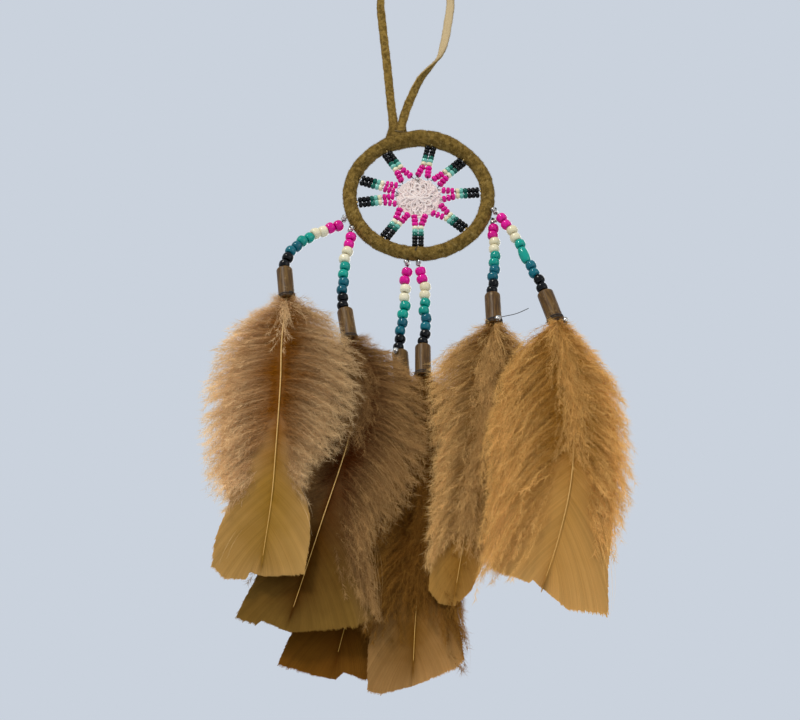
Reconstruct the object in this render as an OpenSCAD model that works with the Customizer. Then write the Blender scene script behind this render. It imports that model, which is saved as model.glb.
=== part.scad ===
// Dream catcher that hangs from a suede lace: a wrapped hoop with a beaded web,
// and six beaded strands, each with a wooden tube and a feather.
// The origin is the inside of the lace loop's top, where a hook bears.
// +Z is up, the hoop lies in the XZ plane, and its front faces -Y.

/* [Hoop] */
// Outer diameter of the wrapped hoop
hoop_outer_d = 63.5; // [63:0.1:64]
// Thickness of the hoop with its suede wrap
wrap_d = 5.6; // [5.4:0.1:5.8]
// Thickness of the metal ring inside the wrap
core_d = 3.0; // [2:0.1:3.4]
// Height of the hook above the hoop's centre
hang_drop = 119; // [118:0.5:120]

/* [Lace] */
// Width of the flat suede lace
lace_w = 3.4; // [2.8:0.1:3.6]
// Thickness of the flat suede lace
lace_t = 1.2; // [0.8:0.1:1.3]
// Clearance between the suede hitch and what turns in it
hitch_gap = 0.3; // [0.2:0.05:0.4]

/* [Web] */
// Diameter of a web bead
web_bead_d = 2.4; // [2:0.1:2.4]
// Length of a web bead
web_bead_l = 1.55; // [1.3:0.05:1.55]
// Diameter of the hole through a web bead
web_hole_d = 0.9; // [0.6:0.1:1]
// Diameter of the web thread
web_thread_d = 0.3; // [0.2:0.05:0.4]
// Distance between the two bead rows of one spoke
spoke_gap = 2.5; // [2.45:0.05:2.6]
// Thickness of the woven rosette
rosette_t = 1.0; // [0.6:0.1:1.6]

/* [Strands] */
// Diameter of a strand bead
bead_d = 4.6; // [3.8:0.1:4.6]
// Length of a strand bead
bead_l = 3.2; // [2.8:0.1:3.3]
// Diameter of the hole through a strand bead
bead_hole_d = 1.8; // [1.3:0.1:1.8]
// How far the beads sit to either side of their thread
bead_stagger = 0.25; // [0:0.05:0.3]
// Length of the one long bugle bead
bugle_l = 7.2; // [6:0.1:7.5]
// Diameter of the black thread
thread_d = 0.4; // [0.3:0.05:0.6]
// Diameter of a silver crimp bead
crimp_d = 2.4; // [2:0.1:2.5]

/* [Tubes] */
// Diameter of a wooden tube
tube_d = 6.7; // [5.8:0.1:6.8]
// Length of a wooden tube
tube_l = 14.5; // [13:0.5:15]
// Diameter of the bore through a wooden tube
tube_bore_d = 2.4; // [2.2:0.1:2.8]
// Radius of a tube's rounded upper edge
tube_edge_r = 1.0; // [0.5:0.1:1.4]

/* [Feathers] */
// Thickness of a feather's vane
vane_t = 1.0; // [0.8:0.1:1]
// Diameter of a quill at its root
quill_d = 1.2; // [1:0.1:1.3]
// Diameter of a quill at the feather's tip
quill_tip_d = 0.6; // [0.5:0.1:0.8]

/* [Hidden] */
STRANDS = [1, 2, 3, 4, 5, 6];
HOOP_NODES = [
    "hanging_lace", "lace_hitch", "hoop_core", "suede_wrap", "silver_crimps",
    "web_thread", "web_black_beads", "web_dark_green_beads", "web_turquoise_beads",
    "web_cream_beads", "web_pink_beads", "centre_rosette"
];
STRAND_NODES = [
    "strand_thread", "pink_beads", "cream_beads", "green_beads",
    "teal_beads", "black_beads", "wood_tube", "feather"
];

hoop_r = (hoop_outer_d - wrap_d) / 2;
wrap_gap = 0.05;

// Lace centreline from one hoop end over the hook to the other: x, y, z and the turn of its flat
// side, which is 0 where the finished side faces forward and 90 where it faces out of the loop.
LACE_ROUTE = [
    [-10, 0.8, -80.4, 0], [-10.4, 0.8, -77.5, 0], [-11.3, 0.6, -72.5, 0], [-12.4, 0.3, -62, 0],
    [-13.5, 0, -50.5, 0], [-14.6, 0, -39, 4], [-15.7, 0, -27, 12], [-16.4, 0, -17, 30],
    [-15.4, 0, -9, 55], [-12, 0, -3.4, 75], [-6.5, 0, -0.3, 88], [0, 0, 0.6, 90],
    [6.5, 0, -0.7, 92], [11.5, 0, -4.8, 105], [14, 0, -11.5, 135], [14.4, 0, -18, 160],
    [13.3, 0, -27, 178], [11.8, 0, -37, 165], [9.6, 0, -45.5, 128], [6.1, 0, -51, 98],
    [2.5, 0, -55.8, 74], [-0.1, 0, -60.5, 50], [-3.5, -0.4, -70, 20], [-5.5, -0.8, -77, 4],
    [-6, -0.8, -80.4, 0]
];
LACE_STEPS = 2;
CORD_SIDES = 8;

// The hitch is a suede sleeve round the hoop, at this angle from +X
hitch_angle = 106;
hitch_arc = 9;
hitch_t = 0.7;
hitch_top = -81;
hitch_top_w = 7;

// Web spokes, by the angle of each from +X about the hoop's centre
SPOKE_ANGLES = [3.5, 43, 78, 122, 162, 188, 236, 269, 319];
spoke_count = len(SPOKE_ANGLES);
BLACK_RADII = [24.6, 22.95, 21.3];
DARK_GREEN_RADII = [19.65];
TURQUOISE_RADII = [18];
CREAM_RADII = [16.35];
PINK_STEPS = [1 / 6, 3 / 6, 5 / 6];
pink_outer_r = 15.2;
pink_inner_r = 9.9;
rosette_lobe_r = 2.3;
rosette_lobe_centre_r = 6.2;
rosette_disc_r = 6.8;

// Each strand leaves a silver crimp. These places are about the hoop's centre.
CRIMPS = [
    [-31.2, -2.4, -13.6], [-28.4, -1.2, -18], [-4.8, 0.5, -33.4],
    [-0.3, 0.5, -33.4], [30.8, 0.8, -12.8], [31.9, -1.6, -9.4]
];
STRAND_ROUTES = [
    [[-31.9, -3, -15.8], [-34.9, -3.6, -18.1], [-38.9, -4.5, -20.3], [-43.3, -5.7, -23.3],
     [-47.6, -7.1, -27.3], [-51.6, -8.3, -32.1], [-54.1, -8.9, -37.3], [-54.8, -9, -42]],
    [[-28.5, -1.4, -19.7], [-28.5, -1.8, -25], [-30.2, -2, -31], [-30.7, -2, -39],
     [-31.2, -2, -47], [-31.2, -2, -53], [-30.2, -2, -57.2]],
    [[-4.9, 0.8, -35], [-5.8, 2.6, -42], [-5.9, 5, -51], [-7.2, 6.8, -59.5],
     [-8.2, 7.8, -67], [-7.9, 8, -71]],
    [[-0.3, 0.8, -35], [1.5, 1.8, -40], [2.6, 2.9, -46.5], [2.1, 3.8, -53],
     [2.9, 4.6, -60], [1.9, 5, -66], [1.5, 5, -70]],
    [[30.7, 0.7, -14.4], [30.9, 0.6, -20], [31.3, 0.6, -26], [31.2, 0.6, -33],
     [30.5, 0.6, -40], [29.9, 0.6, -48.2]],
    [[32.8, -2, -11], [36.7, -2.6, -16.6], [40.2, -3.4, -23.6], [42.8, -4.2, -31],
     [46.2, -5, -39.6], [49, -5.5, -46], [50.8, -5.5, -51]]
];
TUBE_FEET = [
    [-53.4, -9, -56.5], [-28, -2, -71.6], [-6.8, 8, -85.6], [1.4, 5, -84.6],
    [30.3, 0.6, -62.6], [55.1, -5.5, -65]
];

// Beads of one strand, from the crimp down: two of each colour
BEADS_PER_STRAND = 10;
PINK_PLACES = [0, 1];
CREAM_PLACES = [2, 3];
GREEN_PLACES = [4, 5];
TEAL_PLACES = [6, 7];
BLACK_PLACES = [8, 9];
BUGLE_STRAND = 6;
BUGLE_PLACE = 5;
ROUTE_STEPS = 4;
THREAD_RINGS = 14;
winding_turns = 3;
winding_rise = 1.0;

// Feathers as outlines in the XZ plane about the hoop's centre: the left side from the root down,
// the blunt tip from left to right, the right side from the root down, and the rachis.
FEATHER_LEFT = [
    [[-54.5, -58.5], [-60, -62], [-70, -69], [-77, -82], [-82, -101], [-82, -121],
     [-80, -138], [-74, -147], [-78, -162], [-79, -174]],
    [[-29, -73.6], [-34, -77], [-42, -85], [-45, -99], [-47, -117], [-47, -134],
     [-52, -152], [-60, -169], [-66, -183], [-70, -192]],
    [[-8, -87.6], [-13, -91], [-20, -99], [-28, -117], [-33, -139], [-39, -164],
     [-46, -185], [-54, -207]],
    [[0, -86.6], [-5, -90], [-12, -100], [-18, -118], [-20, -140], [-20, -165],
     [-20, -190], [-20, -219]],
    [[29.2, -64.6], [24, -68], [16, -77], [11, -93], [9, -115], [6, -142], [4, -163], [3, -180]],
    [[54.5, -67], [49, -72], [42, -80], [35, -96], [31, -119], [30, -141], [27, -158], [25, -174]]
];
FEATHER_TIP = [
    [[-74, -179], [-66, -179], [-64.5, -176], [-59, -178]],
    [[-61, -195], [-60, -193], [-49, -198]],
    [[-41, -211], [-32, -213], [-29, -210], [-21, -213]],
    [[-15, -220], [-1, -216], [8, -212]],
    [[7, -185], [13, -186]],
    [[41, -179], [42, -177.5], [55, -190]]
];
FEATHER_RIGHT = [
    [[-52.5, -58.5], [-46, -62], [-38, -73], [-32, -89], [-31, -107], [-35, -122],
     [-46, -137], [-43, -148], [-42, -162], [-44, -177]],
    [[-26.6, -73.6], [-20, -77], [-10, -86], [-4, -103], [-3, -126], [-8, -143],
     [-17, -156], [-21, -166], [-17, -181], [-17, -195]],
    [[-5.8, -87.6], [-1, -93], [4, -108], [4, -134], [0, -164], [-6, -189], [-10, -210]],
    [[2.6, -86.6], [7, -90], [15, -100], [20, -118], [20, -140], [17, -165], [14, -185],
     [16, -198], [17, -208]],
    [[31.4, -64.6], [36, -68], [41, -77], [44, -93], [43, -115], [37, -142], [31, -154],
     [24, -169], [19, -180]],
    [[56.8, -67], [62, -72], [71, -84], [78, -101], [81, -123], [79, -141], [75, -158],
     [71, -174], [70, -193]]
];
RACHIS = [
    [[-54, -62], [-55, -77], [-55, -96], [-56, -125], [-57, -146], [-59, -165], [-60, -174]],
    [[-26.5, -80], [-24.5, -94], [-26, -107], [-30, -125], [-38, -153], [-45, -178], [-49, -192]],
    [[-6.8, -92], [-8, -108], [-13, -134], [-20, -160], [-27, -185], [-32, -206]],
    [[1.4, -91], [2, -109], [2, -135], [0, -165], [-2, -190], [-3, -211]],
    [[30, -68], [28.5, -79], [26, -97], [23, -120], [19, -142], [16, -163], [13, -181]],
    [[56, -70], [58, -83], [60.5, -101], [60, -120], [57.5, -141], [52, -163], [46, -181]]
];
OUTLINE_STEPS = 2;
quill_in_bore = 2;

// ---- Paths ----

function unit(v) = v / norm(v);
function at_end(list, i) = list[max(0, min(len(list) - 1, i))];

// A point between p1 and p2 on the smooth curve through four points
function curve_point(p0, p1, p2, p3, t) =
    0.5 * (2 * p1 + (p2 - p0) * t + (2 * p0 - 5 * p1 + 4 * p2 - p3) * t * t
    + (3 * p1 - p0 - 3 * p2 + p3) * t * t * t);

// A smooth path through all the given points
function smooth(pts, steps) = [
    for (i = [0:len(pts) - 2], k = [0:steps - 1])
        curve_point(at_end(pts, i - 1), pts[i], pts[i + 1], at_end(pts, i + 2), k / steps),
    pts[len(pts) - 1]
];

function path_length(path, i = 0) =
    i >= len(path) - 1 ? 0 : norm(path[i + 1] - path[i]) + path_length(path, i + 1);

// The point a given distance along a path, and the direction of the path there
function point_at(path, s, i = 0) =
    let (step = path[i + 1] - path[i])
    s <= norm(step) || i >= len(path) - 2
        ? path[i] + unit(step) * s
        : point_at(path, s - norm(step), i + 1);
function direction_at(path, s) = unit(point_at(path, s + 0.5) - point_at(path, s - 0.5));

function tangent(path, i) = unit(at_end(path, i + 1) - at_end(path, i - 1));
function xyz(p) = [p.x, p.y, p.z];

// The lace's finished side at one route point: forward turned towards the outside of the loop
function lace_normal(t, turn) = cos(turn) * [0, -1, 0] + sin(turn) * unit([-t.z, 0, t.x]);

// A closed tube along a path, w wide across the side vectors and t thick along the normals
module swept(path, normals, w, t, sides = CORD_SIDES) {
    rings = len(path);
    points = [
        for (i = [0:rings - 1])
            let (
                along = tangent(path, i),
                flat = unit(normals[i] - (normals[i] * along) * along),
                side = cross(along, flat)
            )
            for (k = [0:sides - 1])
                let (a = 360 * (k + 0.5) / sides)
                path[i] + side * (w[i] / 2) * cos(a) / cos(180 / sides)
                + flat * (t[i] / 2) * sin(a) / cos(180 / sides)
    ];
    last = (rings - 1) * sides;
    walls = [
        for (i = [0:rings - 2], k = [0:sides - 1])
            let (a = i * sides + k, b = i * sides + (k + 1) % sides)
            each [[a, b, b + sides], [a, b + sides, a + sides]]
    ];
    caps = [[for (k = [sides - 1:-1:0]) k], [for (k = [0:sides - 1]) last + k]];
    polyhedron(points = points, faces = [for (f = concat(walls, caps)) [for (v = f) v]]);
}

// ---- Placing ----

module at_hoop() {
    translate([0, 0, -hang_drop]) children();
}

// Turns +Z to the given direction, at the given place
module facing(place, direction) {
    translate(place)
        rotate([0, acos(unit(direction).z), atan2(direction.y, direction.x)])
            children();
}

// ---- Lace and hoop ----

module hanging_lace() {
    route = smooth(LACE_ROUTE, LACE_STEPS);
    path = [for (p = route) xyz(p)];
    normals = [for (i = [0:len(path) - 1]) lace_normal(tangent(path, i), route[i][3])];
    color("darkkhaki")
        swept(path, normals, [for (p = path) lace_w], [for (p = path) lace_t]);
}

module ring_arc(outer_d, inner_d, from_angle, arc) {
    rotate([90, 0, 0])
        rotate([0, 0, from_angle])
            rotate_extrude(angle = arc, $fn = 96)
                translate([hoop_r, 0])
                    difference() {
                        circle(d = outer_d, $fn = 48);
                        circle(d = inner_d, $fn = 48);
                    }
}

module lace_hitch() {
    inner_d = wrap_d + 2 * hitch_gap;
    outer_d = inner_d + 2 * hitch_t;
    gusset_z = hoop_r * sin(hitch_angle) + inner_d / 2;
    gusset_x = hoop_r * cos(hitch_angle);
    gusset_h = hang_drop + hitch_top - gusset_z;
    color("olive")
        at_hoop() {
            difference() {
                union() {
                    ring_arc(outer_d, inner_d, hitch_angle - hitch_arc, 2 * hitch_arc);
                    translate([gusset_x - hitch_top_w / 2, -outer_d / 4, gusset_z - hitch_t])
                        cube([hitch_top_w, outer_d / 2, gusset_h + hitch_t]);
                }
                rotate([90, 0, 0])
                    rotate_extrude($fn = 96)
                        translate([hoop_r, 0])
                            circle(d = inner_d, $fn = 48);
            }
        }
}

module hoop_core() {
    color("dimgray")
        at_hoop()
            rotate([90, 0, 0])
                rotate_extrude($fn = 96)
                    translate([hoop_r, 0])
                        circle(d = core_d, $fn = 32);
}

module suede_wrap() {
    color("olive")
        at_hoop()
            rotate([90, 0, 0])
                rotate_extrude($fn = 96)
                    translate([hoop_r, 0])
                        difference() {
                            circle(d = wrap_d, $fn = 48);
                            circle(d = core_d + 2 * wrap_gap, $fn = 32);
                        }
}

module silver_crimps() {
    color("silver")
        at_hoop()
            for (place = CRIMPS)
                translate(place)
                    sphere(d = crimp_d, $fn = 32);
}

// ---- Web ----

// A point of the web's plane, by radius and angle, moved sideways
function web_point(r, angle, aside) =
    [r * cos(angle) - aside * sin(angle), 0, r * sin(angle) + aside * cos(angle)];
function spoke_angle(k) =
    SPOKE_ANGLES[(k + spoke_count) % spoke_count] + 360 * floor(k / spoke_count);
function middle_angle(k, side) = (spoke_angle(k) + spoke_angle(k + side)) / 2;
function pink_start(k, side) = web_point(pink_outer_r, spoke_angle(k), side * spoke_gap / 2);
function pink_end(k, side) = web_point(pink_inner_r, middle_angle(k, side), -side * spoke_gap / 2);

module bead(d, l, hole) {
    difference() {
        intersection() {
            sphere(d = d, $fn = 32);
            cube([d, d, l], center = true);
        }
        cylinder(d = hole, h = 2 * l, center = true, $fn = 24);
    }
}

module web_bead(place, direction) {
    facing(place, direction)
        bead(web_bead_d, web_bead_l, web_hole_d);
}

module spoke_beads(radii) {
    at_hoop()
        for (k = [0:spoke_count - 1], side = [-1, 1], r = radii)
            web_bead(web_point(r, spoke_angle(k), side * spoke_gap / 2), web_point(1, spoke_angle(k), 0));
}

module web_black_beads() {
    color("black") spoke_beads(BLACK_RADII);
}

module web_dark_green_beads() {
    color("darkgreen") spoke_beads(DARK_GREEN_RADII);
}

module web_turquoise_beads() {
    color("mediumaquamarine") spoke_beads(TURQUOISE_RADII);
}

module web_cream_beads() {
    color("oldlace") spoke_beads(CREAM_RADII);
}

module web_pink_beads() {
    color("deeppink")
        at_hoop()
            for (k = [0:spoke_count - 1], side = [-1, 1], t = PINK_STEPS)
                let (from = pink_start(k, side), to = pink_end(k, side))
                web_bead(from + (to - from) * t, to - from);
}

module web_thread() {
    wall_r = hoop_r - wrap_d / 2 - 2 * wrap_gap;
    weave_r = rosette_lobe_centre_r + rosette_lobe_r + wrap_gap;
    color("black")
        at_hoop()
            for (k = [0:spoke_count - 1], side = [-1, 1]) {
                path = [
                    web_point(wall_r, spoke_angle(k), side * spoke_gap / 2),
                    pink_start(k, side),
                    pink_end(k, side),
                    web_point(weave_r, middle_angle(k, side), -side * spoke_gap / 8)
                ];
                swept(path, [for (p = path) [0, -1, 0]], [for (p = path) web_thread_d],
                    [for (p = path) web_thread_d]);
            }
}

module centre_rosette() {
    color("mistyrose")
        at_hoop()
            rotate([90, 0, 0])
                linear_extrude(rosette_t, center = true) {
                    circle(r = rosette_disc_r, $fn = 64);
                    for (k = [0:spoke_count - 1])
                        rotate([0, 0, middle_angle(k, 1)])
                            translate([rosette_lobe_centre_r, 0])
                                circle(r = rosette_lobe_r, $fn = 32);
                }
}

// ---- Strands ----

function strand_path(n) = smooth(STRAND_ROUTES[n - 1], ROUTE_STEPS);
function bead_length(n, place) = n == BUGLE_STRAND && place == BUGLE_PLACE ? bugle_l : bead_l;
function lengths_before(n, place) = place == 0 ? 0 : lengths_before(n, place - 1) + bead_length(n, place - 1);
function bead_spacing(n) =
    (path_length(strand_path(n)) - lengths_before(n, BEADS_PER_STRAND)) / (BEADS_PER_STRAND + 1);
function bead_distance(n, place) =
    lengths_before(n, place) + bead_length(n, place) / 2 + (place + 1) * bead_spacing(n);
function tube_top(n) = STRAND_ROUTES[n - 1][len(STRAND_ROUTES[n - 1]) - 1];
function tube_foot(n) = tube_top(n) + unit(TUBE_FEET[n - 1] - tube_top(n)) * tube_l;
function tube_axis(n) = unit(TUBE_FEET[n - 1] - tube_top(n));

module strand_beads(n, places) {
    path = strand_path(n);
    at_hoop()
        for (place = places) {
            s = bead_distance(n, place);
            along = direction_at(path, s);
            aside = unit([-along.z, 0, along.x]) * bead_stagger * (place % 2 == 0 ? 1 : -1);
            facing(point_at(path, s) + aside, along)
                if (bead_length(n, place) > bead_l)
                    bugle();
                else
                    bead(bead_d, bead_l, bead_hole_d);
        }
}

module bugle() {
    difference() {
        cylinder(d = bead_d * 0.92, h = bugle_l, center = true, $fn = 32);
        cylinder(d = bead_hole_d, h = 2 * bugle_l, center = true, $fn = 24);
    }
}

module pink_beads(n) {
    color("deeppink") strand_beads(n, PINK_PLACES);
}

module cream_beads(n) {
    color("oldlace") strand_beads(n, CREAM_PLACES);
}

module green_beads(n) {
    color("lightseagreen") strand_beads(n, GREEN_PLACES);
}

module teal_beads(n) {
    color("teal") strand_beads(n, TEAL_PLACES);
}

module black_beads(n) {
    color("black") strand_beads(n, BLACK_PLACES);
}

// The thread through one strand's beads into its tube, and its winding round the tube's foot
module strand_thread(n) {
    path = concat(strand_path(n), [tube_top(n) + tube_axis(n) * tube_l / 2]);
    total = path_length(path);
    rings = [for (i = [0:THREAD_RINGS - 1]) point_at(path, total * i / (THREAD_RINGS - 1))];
    color("black")
        at_hoop() {
            swept(rings, [for (p = rings) [0, -1, 0]], [for (p = rings) thread_d], [for (p = rings) thread_d]);
            for (turn = [0:winding_turns - 1])
                facing(tube_foot(n) - tube_axis(n) * (winding_rise + turn * thread_d), tube_axis(n))
                    rotate_extrude($fn = 48)
                        translate([tube_d / 2 + thread_d / 2 + wrap_gap, 0])
                            circle(d = thread_d * 0.9, $fn = 16);
        }
}

module wood_tube(n) {
    wall = (tube_d - tube_bore_d) / 2;
    color("saddlebrown")
        at_hoop()
            facing(tube_foot(n), -tube_axis(n))
                rotate_extrude($fn = 64)
                    translate([tube_bore_d / 2, 0]) {
                        square([wall, tube_l - tube_edge_r]);
                        square([wall - tube_edge_r, tube_l]);
                        translate([wall - tube_edge_r, tube_l - tube_edge_r])
                            circle(r = tube_edge_r, $fn = 32);
                    }
}

// ---- Feathers ----

module vane(n) {
    left = smooth(FEATHER_LEFT[n - 1], OUTLINE_STEPS);
    right = smooth(FEATHER_RIGHT[n - 1], OUTLINE_STEPS);
    rightwards_up = [for (i = [len(right) - 1:-1:0]) right[i]];
    translate([0, TUBE_FEET[n - 1].y, 0])
        rotate([90, 0, 0])
            linear_extrude(vane_t, center = true)
                polygon(concat(left, FEATHER_TIP[n - 1], rightwards_up));
}

module quill(n) {
    y = TUBE_FEET[n - 1].y;
    root = tube_foot(n) - tube_axis(n) * quill_in_bore;
    path = concat([root, tube_foot(n)], [for (p = RACHIS[n - 1]) [p.x, y, p.y]]);
    last = len(path) - 1;
    widths = [for (i = [0:last]) quill_d + (quill_tip_d - quill_d) * i / last];
    swept(path, [for (p = path) [0, -1, 0]], widths, widths);
}

module feather(n) {
    color("peru")
        at_hoop() {
            vane(n);
            quill(n);
        }
}

hanging_lace();
lace_hitch();
hoop_core();
suede_wrap();
silver_crimps();
web_thread();
web_black_beads();
web_dark_green_beads();
web_turquoise_beads();
web_cream_beads();
web_pink_beads();
centre_rosette();
for (n = STRANDS) {
    strand_thread(n);
    pink_beads(n);
    cream_beads(n);
    green_beads(n);
    teal_beads(n);
    black_beads(n);
    wood_tube(n);
    feather(n);
}
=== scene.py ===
import math

import bpy
import numpy as np
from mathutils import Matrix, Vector


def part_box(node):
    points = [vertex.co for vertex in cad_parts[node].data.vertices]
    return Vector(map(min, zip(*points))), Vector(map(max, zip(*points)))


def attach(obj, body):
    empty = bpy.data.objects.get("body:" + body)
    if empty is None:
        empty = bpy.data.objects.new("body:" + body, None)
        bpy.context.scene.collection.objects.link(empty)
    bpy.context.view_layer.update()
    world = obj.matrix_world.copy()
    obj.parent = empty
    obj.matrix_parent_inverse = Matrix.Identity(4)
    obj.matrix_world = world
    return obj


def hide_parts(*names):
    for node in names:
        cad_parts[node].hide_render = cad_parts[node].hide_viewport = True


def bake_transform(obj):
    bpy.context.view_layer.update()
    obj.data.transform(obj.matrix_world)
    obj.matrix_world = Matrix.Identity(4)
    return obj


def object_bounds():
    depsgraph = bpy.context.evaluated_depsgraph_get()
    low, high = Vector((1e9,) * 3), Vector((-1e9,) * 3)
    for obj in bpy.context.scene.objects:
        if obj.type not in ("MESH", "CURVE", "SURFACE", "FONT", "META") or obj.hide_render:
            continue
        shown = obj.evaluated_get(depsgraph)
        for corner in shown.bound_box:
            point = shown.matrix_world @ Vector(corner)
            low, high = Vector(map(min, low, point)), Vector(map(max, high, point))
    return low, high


# A dream catcher seen from slightly below. Lengths are in millimetres until a mesh is made.
# The frame's +Z is up, the hoop lies in the XZ plane and its front faces -Y.

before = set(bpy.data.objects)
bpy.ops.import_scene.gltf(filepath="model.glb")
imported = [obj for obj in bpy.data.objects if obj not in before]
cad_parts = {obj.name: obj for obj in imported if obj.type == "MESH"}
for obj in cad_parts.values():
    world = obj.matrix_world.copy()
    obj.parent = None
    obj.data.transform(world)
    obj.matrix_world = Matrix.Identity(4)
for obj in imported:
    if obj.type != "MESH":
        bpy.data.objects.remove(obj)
cad_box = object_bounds()

MM = 0.001
STRANDS = range(1, 7)
FORWARD = np.array([0.0, -1.0, 0.0])


# ---- Measures taken from the frame ----

def corner_points(node):
    """The corners of a CAD node's triangles, as an array of triangles by 3 corners by 3 numbers."""
    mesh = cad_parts[node].data
    points = np.empty(len(mesh.vertices) * 3)
    mesh.vertices.foreach_get("co", points)
    mesh.calc_loop_triangles()
    triangles = np.empty(len(mesh.loop_triangles) * 3, int)
    mesh.loop_triangles.foreach_get("vertices", triangles)
    return points.reshape(-1, 3)[triangles.reshape(-1, 3)] / MM


def solids(node):
    """Each separate round solid of a CAD node, as its centre, axis, length and radius."""
    triangles = corner_points(node)
    _, same = np.unique(np.round(triangles.reshape(-1, 3), 3), axis=0, return_inverse=True)
    corners = same.reshape(-1, 3)
    label = np.arange(corners.max() + 1)
    while True:
        before = label.copy()
        least = label[corners].min(axis=1)
        for k in range(3):
            np.minimum.at(label, corners[:, k], least)
        if (label == before).all():
            break
    owner = label[corners[:, 0]]
    found = []
    for one in np.unique(owner):
        part = triangles[owner == one]
        area = np.cross(part[:, 1] - part[:, 0], part[:, 2] - part[:, 0]) / 2
        size = np.linalg.norm(area, axis=1)
        centre = (part.mean(axis=1) * size[:, None]).sum(axis=0) / size.sum()
        spread = (area / np.maximum(size, 1e-9)[:, None]).T @ area
        axis = np.linalg.eigh(spread)[1][:, 0]
        axis = -axis if axis[2] > 0 else axis
        away = part.reshape(-1, 3) - centre
        along = away @ axis
        radius = np.linalg.norm(away - along[:, None] * axis, axis=1).max()
        centre = centre + axis * (along.max() + along.min()) / 2
        found.append((centre, axis, along.max() - along.min(), radius))
    return sorted(found, key=lambda s: (-s[0][2], s[0][0]))


def node_box(node):
    return [np.array(corner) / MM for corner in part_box(node)]


wrap_box = node_box("suede_wrap")
HOOP = (wrap_box[0] + wrap_box[1]) / 2
wrap_r = (wrap_box[1][1] - wrap_box[0][1]) / 2
hoop_r = (wrap_box[1][0] - wrap_box[0][0]) / 2 - wrap_r


# ---- Paths and meshes ----

def unit(v):
    return v / np.maximum(np.linalg.norm(v, axis=-1, keepdims=True), 1e-12)


def smooth_path(points, steps):
    """A smooth path through all the given points, with steps pieces between neighbours."""
    p = np.array(points, float)
    p = np.concatenate([p[:1], p, p[-1:]])
    t = (np.arange(steps) / steps)[:, None]
    made = []
    for a, b, c, d in zip(p[:-3], p[1:-2], p[2:-1], p[3:]):
        made.append(
            0.5 * (2 * b + (c - a) * t + (2 * a - 5 * b + 4 * c - d) * t**2 + (3 * b - a - 3 * c + d) * t**3)
        )
    return np.concatenate([*made, p[-1:]])


def path_length(path):
    return float(np.linalg.norm(np.diff(path, axis=0), axis=1).sum())


def spaced(path, count):
    """The path again, with count points an equal distance apart."""
    along = np.concatenate([[0], np.cumsum(np.linalg.norm(np.diff(path, axis=0), axis=1))])
    at = np.linspace(0, along[-1], count)
    return np.stack([np.interp(at, along, path[:, k]) for k in range(path.shape[1])], axis=1)


def frames(path):
    """Two directions across a path at each of its points, carried along it without twisting."""
    along = unit(np.gradient(path, axis=0))
    first = FORWARD - along[0] * (FORWARD @ along[0])
    if np.linalg.norm(first) < 0.1:
        first = np.array([1.0, 0, 0]) - along[0] * along[0][0]
    across = [unit(first)]
    for t in along[1:]:
        last = across[-1]
        across.append(unit(last - t * (last @ t)))
    across = np.array(across)
    return across, np.cross(along, across)


class Shape:
    """Vertices, faces and per-vertex numbers that are gathered into one mesh."""

    def __init__(self):
        self.points, self.faces, self.values, self.count = [], [], {}, 0

    def add(self, points, faces, **values):
        points = np.asarray(points, float).reshape(-1, 3)
        self.faces += [np.asarray(f, int) + self.count for f in faces if len(f)]
        for name in {*self.values, *values}:
            row = self.values.setdefault(name, [np.zeros(self.count)] if self.count else [])
            row.append(np.broadcast_to(np.asarray(values.get(name, 0.0), float), len(points)))
        self.points.append(points)
        self.count += len(points)


def piece(name, shape, look, body, replaces=()):
    """Makes the gathered shape a Blender object that rides on a body."""
    mesh = bpy.data.meshes.new(name)
    mesh.vertices.add(shape.count)
    mesh.vertices.foreach_set("co", (np.concatenate(shape.points) * MM).astype(np.float32).ravel())
    sizes = np.concatenate([np.full(len(f), f.shape[1]) for f in shape.faces])
    corners = np.concatenate([f.ravel() for f in shape.faces])
    mesh.loops.add(len(corners))
    mesh.loops.foreach_set("vertex_index", corners.astype(np.int32))
    mesh.polygons.add(len(sizes))
    mesh.polygons.foreach_set("loop_start", (np.cumsum(sizes) - sizes).astype(np.int32))
    mesh.polygons.foreach_set("use_smooth", np.full(len(sizes), True))
    mesh.update(calc_edges=True)
    for key, rows in shape.values.items():
        mesh.attributes.new(key, "FLOAT", "POINT").data.foreach_set(
            "value", np.concatenate(rows).astype(np.float32)
        )
    made = bpy.data.objects.new(name, mesh)
    bpy.context.scene.collection.objects.link(made)
    mesh.materials.append(look)
    if body:
        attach(made, body)
    if replaces:
        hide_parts(*replaces)
    return made


def grid_faces(rows, columns, closed, joined=False):
    """Quads of a grid whose columns may close into rings, and whose last row may be joined to its first."""
    r, c = np.meshgrid(np.arange(rows - 1), np.arange(columns if closed else columns - 1), indexing="ij")
    a = (r * columns + c).ravel()
    b = (r * columns + (c + 1) % columns).ravel()
    faces = np.stack([a, b, b + columns, a + columns], axis=1)
    if joined:
        turn, start = np.arange(columns), (rows - 1) * columns
        seam = np.stack([start + turn, start + (turn + 1) % columns, (turn + 1) % columns, turn], axis=1)
        faces = np.concatenate([faces, seam])
    return faces


def end_caps(rows, columns):
    """One face over each open end of a grid whose columns close into rings."""
    turn = np.arange(columns)
    return [turn[::-1][None], (turn + (rows - 1) * columns)[None]]


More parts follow.
